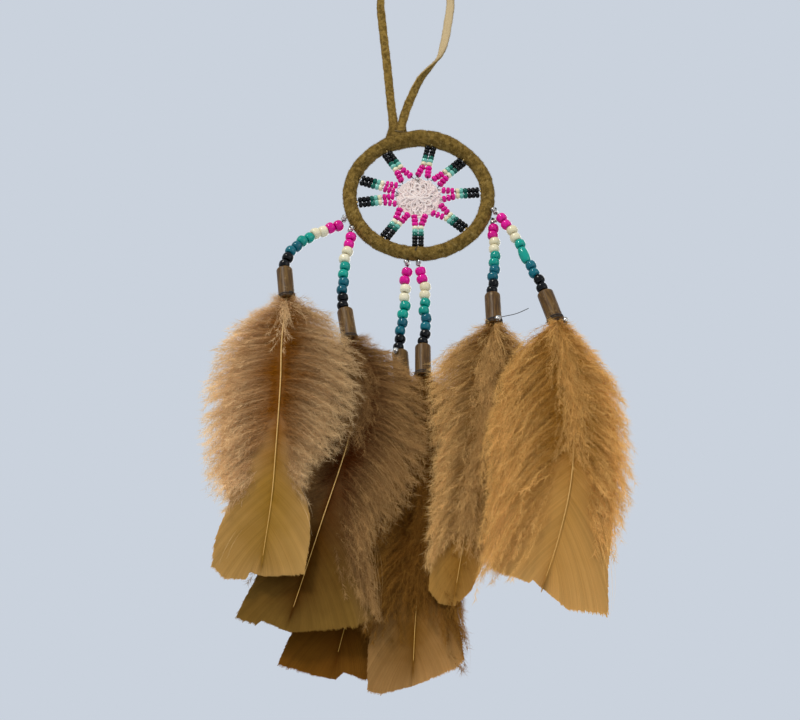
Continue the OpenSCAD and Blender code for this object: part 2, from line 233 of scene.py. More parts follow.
def add_tube(shape, path, radius, sides, flat=1.0, **values):
    """A closed tube along a path, whose radius may differ at each point."""
    path = np.asarray(path, float)
    radius = np.broadcast_to(np.asarray(radius, float), len(path))[:, None, None]
    across, other = frames(path)
    a = np.linspace(0, 2 * np.pi, sides, endpoint=False)[None, :, None]
    ring = path[:, None] + radius * (np.sin(a) * across[:, None] * flat + np.cos(a) * other[:, None])
    ends = np.stack([path[0], path[-1]])
    count = len(path) * sides
    turn = np.arange(sides)
    first = np.stack([np.full(sides, count), (turn + 1) % sides, turn], axis=1)
    last = np.stack([np.full(sides, count + 1), turn, (turn + 1) % sides], axis=1)
    last[:, 1:] += count - sides
    rows = {k: np.broadcast_to(v, len(path)) for k, v in values.items()}
    wide = {k: np.concatenate([np.repeat(v, sides), v[[0, -1]]]) for k, v in rows.items()}
    shape.add(
        np.concatenate([ring.reshape(-1, 3), ends]), [grid_faces(len(path), sides, True), first, last], **wide
    )


def add_twist(shape, path, radius, pitch, **values):
    """A twisted thread: two round plies that wind round the path once in each pitch."""
    steps = max(4, int(path_length(path) / pitch * 8))
    path = spaced(path, steps + 1)
    across, other = frames(path)
    turn = np.linspace(0, 2 * np.pi * path_length(path) / pitch, len(path))
    for start in (0, np.pi):
        a = (turn + start)[:, None]
        ply = path + radius * 0.5 * (np.cos(a) * across + np.sin(a) * other)
        add_tube(shape, ply, radius * 0.56, 6, **values)


def add_lathe(shape, profile, centre, axis, sides, bend=None, **values):
    """Turns a closed profile of (radius, height) points round an axis.

    bend(radius, height, angle) may change the radius.
    """
    profile = np.array(profile, float)
    up = unit(axis)
    across = unit(np.cross(up, [0.3, 0.9, 0.2]))
    other = np.cross(up, across)
    a = np.linspace(0, 2 * np.pi, sides, endpoint=False)
    r = np.repeat(profile[:, :1], sides, axis=1)
    h = np.repeat(profile[:, 1:], sides, axis=1)
    angle = np.repeat(a[None], len(profile), axis=0)
    if bend is not None:
        r = bend(r, h, angle)
    points = (
        centre
        + (r * np.cos(angle))[..., None] * across
        + (r * np.sin(angle))[..., None] * other
        + h[..., None] * up
    )
    if "place_h" in values:
        values = {**values, "place_h": h.ravel(), "place_a": angle.ravel()}
    shape.add(points.reshape(-1, 3), [grid_faces(len(profile), sides, True, joined=True)], **values)


NAP_WIDTH = 0.06


def add_nap(shape, points, normals, length, rng, **values):
    """Short loose fibres that stand on a surface, each one thin triangle."""
    count = len(points)
    away = unit(normals + rng.normal(0, 0.8, (count, 3)))
    long = (length * rng.uniform(0.4, 1.4, count))[:, None]
    side = unit(np.cross(away, rng.normal(0, 1, (count, 3)))) * NAP_WIDTH / 2
    blade = np.stack([points - side, points + side, points + away * long], axis=1)
    faces = np.arange(count * 3).reshape(-1, 3)
    shape.add(blade.reshape(-1, 3), [faces], **{k: np.repeat(v, 3) for k, v in values.items()})


# ---- Materials ----

def paint(*screen):
    """A colour given as 0 to 255 screen values, as the shader wants it."""
    shares = [c / 255 for c in screen]
    return (*(c / 12.92 if c < 0.0404 else ((c + 0.055) / 1.055) ** 2.4 for c in shares), 1.0)


class Look:
    """One material and short calls for the nodes it is made of. Patterns are in millimetres."""

    def __init__(self, name, **constants):
        self.material = bpy.data.materials.new(name)
        self.material.use_nodes = True
        self.tree = self.material.node_tree
        self.shader = self.tree.nodes["Principled BSDF"]
        for socket, value in constants.items():
            self.shader.inputs[socket.replace("_", " ")].default_value = value

    def node(self, kind, inputs=(), **settings):
        made = self.tree.nodes.new(kind)
        for key, value in settings.items():
            setattr(made, key, value)
        for key, value in dict(inputs).items():
            if isinstance(value, bpy.types.NodeSocket):
                self.tree.links.new(value, made.inputs[key])
            else:
                made.inputs[key].default_value = value
        return made

    def place(self):
        """Places on the piece, with one unit a millimetre."""
        at = self.node("ShaderNodeTexCoord").outputs["Object"]
        return self.node("ShaderNodeVectorMath", {0: at, 1: (1 / MM,) * 3}, operation="MULTIPLY").outputs[0]

    def noise(self, size, detail=3.0, at=None, distortion=0.0):
        """Clouds whose features are about size millimetres."""
        inputs = {"Vector": at or self.place(), "Scale": 1 / size, "Detail": detail, "Distortion": distortion}
        return self.node("ShaderNodeTexNoise", inputs).outputs["Fac"]

    def value(self, name):
        return self.node("ShaderNodeAttribute", attribute_name=name).outputs["Fac"]

    def ramp(self, factor, low, high):
        """0 below low, 1 above high, and smooth between."""
        inputs = {"Value": factor, "From Min": low, "From Max": high}
        return self.node("ShaderNodeMapRange", inputs, interpolation_type="SMOOTHSTEP").outputs[0]

    def math(self, operation, a, b=0.0):
        return self.node("ShaderNodeMath", {0: a, 1: b}, operation=operation).outputs[0]

    def sum(self, *shares):
        """The sum of sockets that are each taken by a share."""
        a, b = (self.math("MULTIPLY", socket, share) for socket, share in shares)
        return self.math("ADD", a, b)

    def mix(self, factor, a, b, blend="MIX"):
        inputs = {0: factor, 6: a, 7: b}
        return self.node("ShaderNodeMix", inputs, data_type="RGBA", blend_type=blend).outputs[2]

    def patches(self, colour, cloud, low, high, share, tint):
        """The colour with a share of a tint where the clouds are above low."""
        factor = self.math("MULTIPLY", self.ramp(cloud, low, high), share)
        return self.mix(factor, colour, paint(*tint))

    def colour(self, socket):
        self.tree.links.new(socket, self.shader.inputs["Base Color"])

    def roughness(self, factor, low, high):
        inputs = {"Value": factor, "To Min": low, "To Max": high}
        made = self.node("ShaderNodeMapRange", inputs)
        self.tree.links.new(made.outputs[0], self.shader.inputs["Roughness"])

    def bump(self, height, depth):
        """Relief of depth millimetres."""
        made = self.node("ShaderNodeBump", {"Height": height, "Distance": depth * MM})
        self.tree.links.new(made.outputs[0], self.shader.inputs["Normal"])


def suede_look(name, dark, light, reverse, fibre):
    """Napped leather: mottled colour, paler cut edges and a paler reverse side."""
    look = Look(name, Sheen_Weight=0.12, Sheen_Roughness=0.5, Specular_IOR_Level=0.06)
    look.shader.inputs["Sheen Tint"].default_value = paint(214, 180, 110)
    cloud = look.noise(1.6, 6.0)
    fine = look.noise(0.45, 5.0)
    colour = look.mix(look.ramp(cloud, 0.34, 0.66), paint(*dark), paint(*light))
    colour = look.patches(colour, fine, 0.5, 0.72, 0.5, fibre)
    colour = look.mix(look.value("edge"), colour, paint(*fibre))
    colour = look.mix(look.value("reverse"), colour, paint(*reverse))
    look.colour(colour)
    look.roughness(fine, 0.82, 1.0)
    look.bump(look.math("ADD", cloud, fine), 0.28)
    return look.material


def glass_look(name, base, deep, roughness=0.1, gloss=0.42):
    """Opaque bead glass: the colour shifts from bead to bead and in swirls within each bead."""
    look = Look(name, Specular_IOR_Level=gloss, IOR=1.5)
    swirl = look.noise(1.3, 2.0, distortion=0.6)
    blend = look.sum((look.value("tone"), 0.75), (swirl, 0.35))
    look.colour(look.mix(blend, paint(*base), paint(*deep)))
    look.roughness(swirl, roughness * 0.6, roughness * 1.8)
    look.bump(look.noise(1.1, 1.0), 0.02)
    return look.material


def metal_look(name, base, dark, roughness):
    look = Look(name, Metallic=1.0)
    cloud = look.noise(0.5, 4.0)
    look.colour(look.mix(look.ramp(cloud, 0.4, 0.75), paint(*base), paint(*dark)))
    look.roughness(cloud, roughness * 0.7, roughness * 1.7)
    look.bump(look.noise(0.25, 2.0), 0.02)
    return look.material


def thread_look(name, base, light, sheen):
    look = Look(name, Sheen_Weight=sheen, Specular_IOR_Level=0.3)
    cloud = look.noise(0.6, 4.0)
    tone = look.sum((look.value("tone"), 0.5), (cloud, 0.6))
    look.colour(look.mix(tone, paint(*base), paint(*light)))
    look.roughness(cloud, 0.5, 0.85)
    look.bump(look.noise(0.12, 3.0), 0.05)
    return look.material


def wood_look(name):
    """Polished brown wood with grain along the tube and paler patches of painted highlight."""
    look = Look(name, Coat_Weight=0.06, Coat_Roughness=0.3, Specular_IOR_Level=0.22)
    angle = look.value("place_a")
    lines = look.node("ShaderNodeCombineXYZ", {
        "X": look.math("MULTIPLY", look.math("COSINE", angle), 3.1),
        "Y": look.math("MULTIPLY", look.math("SINE", angle), 3.1),
        "Z": look.sum((look.value("place_h"), 0.09), (look.value("tone"), 40.0)),
    }).outputs[0]
    grain = look.noise(0.55, 6.0, at=lines, distortion=0.25)
    broad = look.noise(2.2, 3.0, at=lines)
    painted_highlight = look.noise(2.4, 4.0)
    colour = look.mix(look.ramp(grain, 0.32, 0.68), paint(66, 43, 12), paint(100, 71, 30))
    colour = look.patches(colour, broad, 0.45, 0.75, 0.55, (122, 92, 44))
    # Paler patches at random places, in the colour of the polished wood's highlights: painted highlight
    look.colour(look.patches(colour, painted_highlight, 0.6, 0.74, 0.4, (168, 138, 90)))
    look.roughness(grain, 0.28, 0.55)
    look.bump(grain, 0.09)
    return look.material


def feather_look(name, down_pale, down_deep_and_shade, vane_pale, vane_deep_and_shade):
    """Barbs that go from down to closed vane in colour, and from deep by the rachis to pale at the rim. The
    deep colour by the rachis is partly the feather's own and partly painted shade.
    """
    look = Look(name, Specular_IOR_Level=0.04)
    cloud = look.noise(9.0, 3.0)
    drift = look.math("SUBTRACT", look.math("MULTIPLY", cloud, 0.5), 0.25)
    deep = look.math("ADD", look.value("deep"), drift)
    fluff = look.mix(deep, paint(*down_pale), paint(*down_deep_and_shade))
    web = look.mix(deep, paint(*vane_pale), paint(*vane_deep_and_shade))
    colour = look.mix(look.value("down"), web, fluff)
    # Each barb's tone scales its colour: at random from barb to barb, and by side as painted light and shade
    shade = look.mix(look.value("tone"), (0.72, 0.70, 0.66, 1.0), (1.28, 1.30, 1.34, 1.0))
    colour = look.mix(1.0, colour, shade, "MULTIPLY")
    look.colour(colour)
    look.roughness(cloud, 0.55, 0.8)
    clear = look.node("ShaderNodeBsdfTranslucent", {"Color": colour})
    both = look.node("ShaderNodeMixShader", {0: 0.35, 1: look.shader.outputs[0], 2: clear.outputs[0]})
    look.tree.links.new(both.outputs[0], look.tree.nodes["Material Output"].inputs["Surface"])
    return look.material


def quill_look(name):
    look = Look(name, Specular_IOR_Level=0.5, Coat_Weight=0.2, Coat_Roughness=0.3)
    cloud = look.noise(1.5, 3.0)
    colour = look.mix(look.value("tone"), paint(214, 172, 96), paint(196, 148, 56))
    look.colour(look.patches(colour, cloud, 0.4, 0.8, 0.4, (150, 104, 42)))
    look.roughness(cloud, 0.3, 0.55)
    look.bump(cloud, 0.05)
    return look.material


def floor_look(name):
    look = Look(name, Specular_IOR_Level=0.2)
    cloud = look.noise(60.0, 4.0)
    look.colour(look.mix(look.math("MULTIPLY", cloud, 0.3), paint(206, 211, 219), paint(198, 204, 213)))
    look.roughness(cloud, 0.7, 0.9)
    return look.material


# ---- Camera ----

CAMERA_LENS = 100.93
CAMERA_PITCH = 30
CAMERA_AWAY = 900
CAMERA_AIM = HOOP + np.array([-7.835, 0, -79.5])


def make_camera():
    """A camera that looks up at the object from in front, at the aim point."""
    pitch = math.radians(CAMERA_PITCH)
    camera = bpy.data.objects.new("camera", bpy.data.cameras.new("camera"))
    bpy.context.scene.collection.objects.link(camera)
    back = np.array([0, -math.cos(pitch), -math.sin(pitch)])
    camera.location = (CAMERA_AIM + back * CAMERA_AWAY) * MM
    camera.rotation_euler = (math.pi / 2 + pitch, 0, 0)
    camera.data.lens = CAMERA_LENS
    camera.data.sensor_width = 36
    camera.data.clip_start = 0.05
    camera.data.clip_end = 50
    bpy.context.scene.camera = camera


make_camera()

# ---- The hanging lace ----

# Lace centreline from one hoop end over the hook to the other: x, y, z and the turn of its flat
# side, which is 0 where the finished side faces forward and 90 where it faces out of the loop.
LACE_ROUTE = [
    [-10.8, 0.8, -80.4, 0], [-11, 0.8, -77.5, 0], [-11.6, 0.6, -72.5, 0], [-12.5, 0.3, -62, 0],
    [-13.5, 0, -50.5, 0], [-14.6, 0, -39, 4], [-15.7, 0, -27, 12], [-16.4, 0, -17, 30],
    [-15.4, 0, -9, 55], [-12, 0, -3.4, 75], [-6.5, 0, -0.3, 88], [0, 0, 0.6, 90],
    [6.5, 0, -0.7, 92], [11.5, 0, -4.8, 105], [14, 0, -11.5, 135], [14.4, 0, -18, 160],
    [13.3, 0, -27, 178], [11.8, 0, -37, 165], [9.6, 0, -45.5, 128], [6.1, 0, -51, 98],
    [2.5, 0, -55.8, 74], [-0.1, 0, -60.5, 50], [-3.6, -0.4, -70, 20], [-5.7, -0.8, -77, 4],
    [-6.5, -0.8, -80.4, 0],
]
# What the hitch hides of the lace's two ends
LACE_TUCKS = [
    [[-10.6, -0.2, -87.5, 0], [-10.8, 0.7, -84, 0]], [[-7.4, -1.3, -84, 0], [-8.2, -2.2, -87.5, 0]],
]
LACE_W = 3.4
LACE_T = 1.2

suede = suede_look("suede", (90, 69, 26), (136, 109, 52), (192, 170, 130), (176, 148, 88))


def make_lace():
    """A flat suede lace whose finished side is olive and whose reverse is pale."""
    rng = np.random.default_rng(11)
    route = smooth_path([*LACE_TUCKS[0], *LACE_ROUTE, *LACE_TUCKS[1]], 12)
    path, turn = route[:, :3], np.radians(route[:, 3])[:, None]
    along = unit(np.gradient(path, axis=0))
    out = unit(np.stack([-along[:, 2], np.zeros(len(path)), along[:, 0]], axis=1))
    normal = np.cos(turn) * FORWARD + np.sin(turn) * out
    normal = unit(normal - along * (normal * along).sum(axis=1, keepdims=True))
    side = np.cross(along, normal)
    at = np.cumsum(np.linalg.norm(np.diff(path, axis=0, prepend=path[:1]), axis=1))
    half_w = LACE_W / 2 * (1.04 + 0.035 * np.sin(at * 0.9) + 0.025 * np.sin(at * 2.3 + 1))
    half_t = LACE_T / 2 * (1 + 0.06 * np.sin(at * 1.7 + 2))
    sides = 28
    a = np.linspace(0, 2 * np.pi, sides, endpoint=False)
    wide = np.sign(np.cos(a)) * np.abs(np.cos(a)) ** 0.35
    thick = np.sign(np.sin(a)) * np.abs(np.sin(a)) ** 0.6
    ragged = 1 + 0.02 * rng.normal(size=(len(path), sides))
    ring = (
        path[:, None]
        + side[:, None] * (half_w[:, None] * wide * ragged)[..., None]
        + normal[:, None] * (half_t[:, None] * thick * ragged)[..., None]
    )
    reverse = np.broadcast_to(np.clip(0.5 - thick * 3, 0, 1), (len(path), sides)).ravel()
    edge = np.broadcast_to(np.clip((np.abs(wide) - 0.93) * 8, 0, 0.5), (len(path), sides)).ravel()
    shape = Shape()
    faces = [grid_faces(len(path), sides, True), *end_caps(len(path), sides)]
    shape.add(ring.reshape(-1, 3), faces, reverse=reverse, edge=edge)
    pick = rng.integers(0, len(path) * sides, 26000)
    centre = np.repeat(path, sides, axis=0)[pick]
    start = ring.reshape(-1, 3)[pick]
    edge = edge[pick] + rng.uniform(0.0, 0.5, len(pick))
    add_nap(shape, start, unit(start - centre), 0.45, rng, reverse=reverse[pick], edge=edge)
    lace = piece("lace", shape, suede, None, ["hanging_lace"])
    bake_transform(lace)


make_lace()

# ---- Hoop ----

# The hitch's place round the ring, from +X towards +Z, and how often the suede strip goes round the tube
HITCH_ANGLE = 106
STRIP_TURNS = 25


def ring_out(angle):
    """Outwards from the hoop's centre, at an angle from +X towards +Z."""
    return np.stack([np.cos(angle), np.zeros_like(angle), np.sin(angle)], axis=-1)


def ring_point(angle, tube_angle, tube_r):
    """A point round the hoop's tube, whose tube_angle is 0 outwards and 90 degrees forward."""
    out, forward = (tube_r * turn(tube_angle) for turn in (np.cos, np.sin))
    return HOOP + ring_out(angle) * (hoop_r + out[..., None]) + FORWARD * forward[..., None]


def waves(x, y, rng, count, low, high):
    """A smooth random relief over two angles, from -1 to 1 or so."""
    made = np.zeros(np.broadcast(x, y).shape)
    for _ in range(count):
        p, q = rng.integers(low, high, 2)
        made += np.sin(p * x + q * y + rng.uniform(0, 2 * np.pi))
    return made / math.sqrt(count)


def make_wrap():
    """A suede strip wound round the ring: each turn laps the last, and more of it lies near the hitch."""
    rng = np.random.default_rng(5)
    rows, columns = 1100, 40
    u = np.linspace(0, 2 * np.pi, rows + 1)[:, None]
    v = np.linspace(0, 2 * np.pi, columns, endpoint=False)[None]
    drift = 0.13 * waves(u, 0 * v, rng, 6, 3, 14) + 0.05 * waves(u, v, rng, 5, 1, 6)
    phase = (STRIP_TURNS * u + v) / (2 * np.pi) + drift
    lap = phase - np.floor(phase)
    step = np.clip(lap / 0.1, 0, 1)
    rise = np.where(lap < 0.1, step * step * (3 - 2 * step), 1 - (lap - 0.1) / 0.9)
    extra = np.exp(-((((u - math.radians(82)) / 0.42) ** 2))) * 0.75
    lumps = 0.13 * waves(u, v, rng, 12, 9, 60) + 0.07 * waves(u, v, rng, 10, 1, 9)
    r = wrap_r - 0.12 + extra + 0.2 * rise + lumps + 0.015 * rng.normal(size=rise.shape)
    r[-1] = r[0]
    points = (ring_point(u + 0 * v, v + 0 * u, r) + extra[..., None] * 0.55 * ring_out(u + 0 * v))[:-1]
    edge = np.exp(-(((lap - 0.09) / 0.06) ** 2)) * (0.2 + 0.35 * waves(u, v, rng, 8, 5, 40))
    edge = np.clip(edge, 0, 0.7)[:-1].ravel()
    shape = Shape()
    flat = points.reshape(-1, 3)
    shape.add(flat, [grid_faces(rows, columns, True, joined=True)[:, ::-1]], edge=edge, reverse=0.0)
    pick = rng.integers(0, len(flat), 80000)
    middle = np.broadcast_to(ring_point(u, 0 * u, 0 * u)[:-1], points.shape).reshape(-1, 3)
    start = flat[pick] + rng.normal(0, 0.05, (len(pick), 3))
    edge = edge[pick] + rng.uniform(-0.1, 0.5, len(pick))
    add_nap(shape, start, unit(flat[pick] - middle[pick]), 0.5, rng, edge=edge)
    piece("hoop_suede_wrap", shape, suede, "hoop", ["suede_wrap"])


def make_hitch():
    """The suede turn that ties the lace to the hoop, with a gusset up to both lace strands."""
    rng = np.random.default_rng(6)
    angle = math.radians(HITCH_ANGLE)
    shape, sides = Shape(), 24
    arc = np.linspace(-12, 12, 17)
    u = angle + np.radians(arc)[:, None]
    v = np.linspace(0, 2 * np.pi, sides, endpoint=False)[None]
    r = wrap_r + 0.62 * np.cos(np.radians(arc[:, None] / 12 * 90)) ** 0.7 + 0 * v
    ring = ring_point(u + 0 * v, v + 0 * u, r).reshape(-1, 3)
    faces = [grid_faces(len(arc), sides, True), *end_caps(len(arc), sides)]
    shape.add(ring, [face[:, ::-1] for face in faces])
    crown = HOOP + hoop_r * np.array([math.cos(angle + 0.05), 0, math.sin(angle + 0.05)])
    top = node_box("lace_hitch")[1][2]
    a = v[0]
    rows = []
    for k in np.linspace(0, 1, 9):
        middle = crown + (np.array([-8.75, 0, top - 0.6]) - crown) * k
        half_w = 5.4 - 2.1 * k ** 0.8
        half_t = 2.7 - 1.5 * k ** 0.7
        rows.append(middle + np.stack([half_w * np.cos(a), half_t * np.sin(a), 0 * a], axis=1))
    shape.add(np.concatenate(rows), [grid_faces(len(rows), sides, True), *end_caps(len(rows), sides)])
    hitch = piece("suede_hitch", shape, suede, "hitch", ["lace_hitch"])
    remesh = hitch.modifiers.new("blend", "REMESH")
    remesh.mode, remesh.voxel_size = "VOXEL", 0.25 * MM
    soften = hitch.modifiers.new("soften", "SMOOTH")
    soften.factor, soften.iterations = 0.6, 16
    relief = bpy.data.textures.new("suede_relief", "CLOUDS")
    relief.noise_scale = 1.3 * MM
    lumps = hitch.modifiers.new("lumps", "DISPLACE")
    lumps.texture, lumps.strength = relief, 0.5 * MM
    apply_modifiers(hitch)
    count = len(hitch.data.vertices)
    points, normals = np.empty((count, 3)), np.empty((count, 3))
    hitch.data.vertices.foreach_get("co", points.ravel())
    hitch.data.vertices.foreach_get("normal", normals.ravel())
    pick = rng.integers(0, count, 12000)
    nap, edge = Shape(), rng.uniform(0, 0.5, len(pick))
    add_nap(nap, points[pick] / MM, normals[pick], 0.5, rng, edge=edge)
    piece("suede_hitch_nap", nap, suede, "hitch")


def dress(node, look):
    """Gives a CAD node that stays visible its detailed material."""
    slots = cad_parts[node].data.materials
    slots.clear()
    slots.append(look)


def apply_modifiers(made):
    """Turns an object's mesh into what its modifiers show."""
    graph = bpy.context.evaluated_depsgraph_get()
    final = bpy.data.meshes.new_from_object(made.evaluated_get(graph))
    old = made.data
    made.modifiers.clear()
    made.data = final
    bpy.data.meshes.remove(old)
    final.name = made.name
    final.polygons.foreach_set("use_smooth", np.full(len(final.polygons), True))


black_thread = thread_look("black_thread", (18, 15, 14), (60, 50, 42), 0.2)
pale_thread = thread_look("pale_thread", (226, 206, 200), (250, 238, 230), 0.4)
silver = metal_look("silver", (214, 212, 206), (120, 112, 100), 0.22)


# A crimp's section as shares of its radius
CRIMP_SECTION = [
    (0.35, -0.6), (0.67, -0.79), (0.87, -0.52), (0.92, 0), (0.87, 0.52), (0.67, 0.79), (0.35, 0.6), (0.3, 0),
]


def make_crimps():
    """Short silver tubes squeezed flat across their middles, each with a smaller bead beside it."""
    rng = np.random.default_rng(21)
    shape = Shape()
    for centre, _, _, r in solids("silver_crimps"):
        profile = np.array(CRIMP_SECTION) * r * 1.05
        axis = unit(np.array([rng.normal(0, 0.3), rng.normal(0, 0.3), 1.0]))
        add_lathe(
            shape, profile, centre, axis, 24,
            bend=lambda q, h, a: q * (1 - 0.16 * np.cos(a) ** 8 * (abs(h) < 0.7)), tone=rng.random(),
        )
        beside = centre + np.array([rng.uniform(-1.3, 1.3), -0.9, rng.uniform(0.3, 1.0)])
        lean = unit(rng.normal(0, 1, 3))
        add_lathe(shape, bead_profile(1.6, 1.0, 0.3), beside, lean, 20, tone=rng.random())
    piece("crimps", shape, silver, "hoop", ["silver_crimps"])


# ---- Beads ----

def bead_profile(length, radius, hole):
    """A seed bead's section: a round side, and a hole with a soft rim."""
    rim = 0.8 * (radius - hole)
    t = np.linspace(0, np.pi / 2, 10)
    outer = np.stack([radius - rim + rim * np.cos(t) ** 0.85, length / 2 * np.sin(t) ** 0.85], axis=1)
    lip = 0.2 * (radius - hole)
    t = np.linspace(0, np.pi / 2, 5)[1:]
    inner = np.stack([hole + lip * (1 - np.sin(t)), length / 2 - 0.7 * lip * (1 - np.cos(t))], axis=1)
    upper = np.concatenate([outer, inner])
    lower = upper[::-1] * [1, -1]
    return np.concatenate([upper, lower[:-1]])


def make_beads(name, node, colour, body, seed, hole_share, grow=1.0):
    """Detailed beads in the places of a CAD node's beads, no two quite alike."""
    rng = np.random.default_rng(seed)
    shape = Shape()
    for centre, axis, length, radius in solids(node):
        size = rng.uniform(0.97, 1.05)
        lean = unit(axis + rng.normal(0, 0.09, 3))
        wide, slant = rng.uniform(0, 0.03), rng.uniform(0, 2 * np.pi)
        add_lathe(
            shape, bead_profile(length * rng.uniform(1.03, 1.1), radius * size * grow, radius * hole_share),
            centre, lean, 28,
            bend=lambda q, h, a: q * (1 - wide * np.cos(a - slant) ** 2 - 0.012 * np.cos(3 * a + slant)),
            tone=rng.random(),
        )
    piece(name, shape, GLASS[colour], body, [node])


GLASS = {
    "black": glass_look("black_glass", (2, 2, 3), (9, 8, 9), 0.05, 0.22),
    "dark_green": glass_look("dark_green_glass", (0, 76, 66), (4, 100, 84), 0.08, 0.3),
    "turquoise": glass_look("turquoise_glass", (84, 166, 148), (124, 192, 176), 0.1),
    "cream": glass_look("cream_glass", (238, 230, 200), (216, 204, 164), 0.12),
    "pink": glass_look("pink_glass", (226, 4, 148), (196, 2, 118), 0.08, 0.3),
    "green": glass_look("green_glass", (0, 164, 142), (0, 134, 120), 0.07, 0.36),
    "teal": glass_look("teal_glass", (0, 104, 116), (0, 78, 92), 0.07, 0.36),
}


WEB_COLOURS = ["black", "dark_green", "turquoise", "cream", "pink"]
STRAND_COLOURS = ["pink", "cream", "green", "teal", "black"]


def make_web_beads():
    for seed, colour in enumerate(WEB_COLOURS):
        grow = 1.2 if colour == "pink" else 1.05
        make_beads(f"web_beads_{colour}", f"web_{colour}_beads", colour, "hoop", 31 + seed, 0.36, grow)


def make_strand_beads(n):
    for seed, colour in enumerate(STRAND_COLOURS):
        make_beads(f"beads_{colour}_{n}", f"{colour}_beads_{n}", colour, f"strand_{n}", 100 * n + seed, 0.34)


def strand_stops(n):
    """The middles of one strand's beads from the top down, then its tube."""
    beads = [s[0] for colour in STRAND_COLOURS for s in solids(f"{colour}_beads_{n}")]
    return beads, solids(f"wood_tube_{n}")[0]


wood = wood_look("brown_wood")
quill = quill_look("feather_quill")


TUBE_BORE_R = 1.2


def make_tube(n, tube):
    """A turned wooden tube with softened rims, slightly out of round."""
    rng = np.random.default_rng(300 + n)
    centre, axis, length, radius = tube
    half, bore = length / 2, TUBE_BORE_R
    profile = [(bore, -half + 0.5), (bore + 0.35, -half)]
    for t in np.linspace(0, np.pi / 2, 8):
        profile.append((radius - 1.0 + math.sin(t), -half + 1.0 - math.cos(t)))
    profile += [(radius, h) for h in np.linspace(-half + 1.3, half - 0.5, 34)]
    for t in np.linspace(0.2, np.pi / 2, 5):
        profile.append((radius - 0.35 * (1 - math.cos(t)), half - 0.35 * (1 - math.sin(t))))
    profile += [(bore + 0.35, half), (bore, half - 0.4)]
    turns = rng.uniform(0, 2 * np.pi, 6)

    def worn(q, h, a):
        oval = 0.02 * np.cos(2 * a + turns[0]) + 0.008 * np.cos(3 * a + turns[1] + h * 0.2)
        grain = sum(0.0035 * np.sin(k * a + turns[2] + 0.5 * np.sin(h * 0.35 + k)) for k in (23, 31, 47))
        return q * (1 - 0.02 + np.where(q > radius * 0.9, oval + grain, 0))

    shape = Shape()
    add_lathe(shape, profile, centre, axis, 160, bend=worn, tone=rng.random(), place_h=0, place_a=0)
    piece(f"tube_{n}", shape, wood, f"strand_{n}", [f"wood_tube_{n}"])


# Loose thread ends at the feet of two tubes, and the small crimps beside them, about the hoop's centre
THREAD_TAILS = {
    5: [[[31.5, -2.6, -61.2], [35, -3.2, -60.8], [39.5, -3.6, -59.8], [44.2, -3.4, -57.3]]],
    6: [[[56, -8.8, -65.6], [53, -9.2, -66.2], [51.5, -9.3, -67.2], [50.4, -9.2, -67.8]]],
}
FOOT_CRIMPS = {5: [31.6, -3.2, -61.8], 6: [58.5, -9.4, -66.4], 3: [-9.6, 4.6, -72.4]}


def make_silver_bead(name, body, place, lean, size, sides, tone):
    """One small silver bead about the hoop's centre, of a given length, radius and hole."""
    shape = Shape()
    add_lathe(shape, bead_profile(*size), HOOP + np.array(place), unit(np.array(lean)), sides, tone=tone)
    piece(name, shape, silver, body)


def make_thread(n, beads, tube):
    """The thread through the beads into the tube, and its uneven winding round the tube's foot."""
    rng = np.random.default_rng(400 + n)
    centre, axis, length, radius = tube
    crimp = min(solids("silver_crimps"), key=lambda s: np.linalg.norm(s[0] - beads[0]))[0]
    shape = Shape()
    down = smooth_path([crimp, *beads, centre - axis * length / 2, centre], 6)
    add_twist(shape, down, 0.26, 1.1, tone=0.2)
    across = unit(np.cross(axis, [0.2, 1.0, 0.1]))
    other = np.cross(axis, across)
    turns = 3.5
    t = np.linspace(0, 1, 150)
    a = 2 * np.pi * turns * t + rng.uniform(0, 6)
    h = length / 2 - 0.5 - 1.3 * t - 0.2 * np.sin(a * 0.6)
    r = radius * 0.97 + 0.16
    wound = centre + r * (np.cos(a)[:, None] * across + np.sin(a)[:, None] * other) + h[:, None] * axis
    add_twist(shape, wound, 0.19, 0.9, tone=0.5)
    for tail in THREAD_TAILS.get(n, []):
        add_twist(shape, HOOP + smooth_path(tail, 10), 0.17, 0.9, tone=0.6)
    piece(f"thread_{n}", shape, black_thread, f"strand_{n}", [f"strand_thread_{n}"])


# ---- Web ----

# Rings of leaf loops in the rosette: how many, where they start in mm, where they end as a share of the
# rosette's reach, their turn as a share of one loop, and their lift to the front and breadth in mm
LEAF_RINGS = [
    (11, 2.4, 1.0, 0.0, -0.2, 1.5), (13, 1.8, 0.84, 0.5, 0.2, 1.4), (10, 1.0, 0.66, 0.2, 0.6, 1.3),
    (8, 0.6, 0.45, 0.6, 0.9, 1.1), (11, 2.0, 0.95, 0.35, -0.6, 1.5),
]


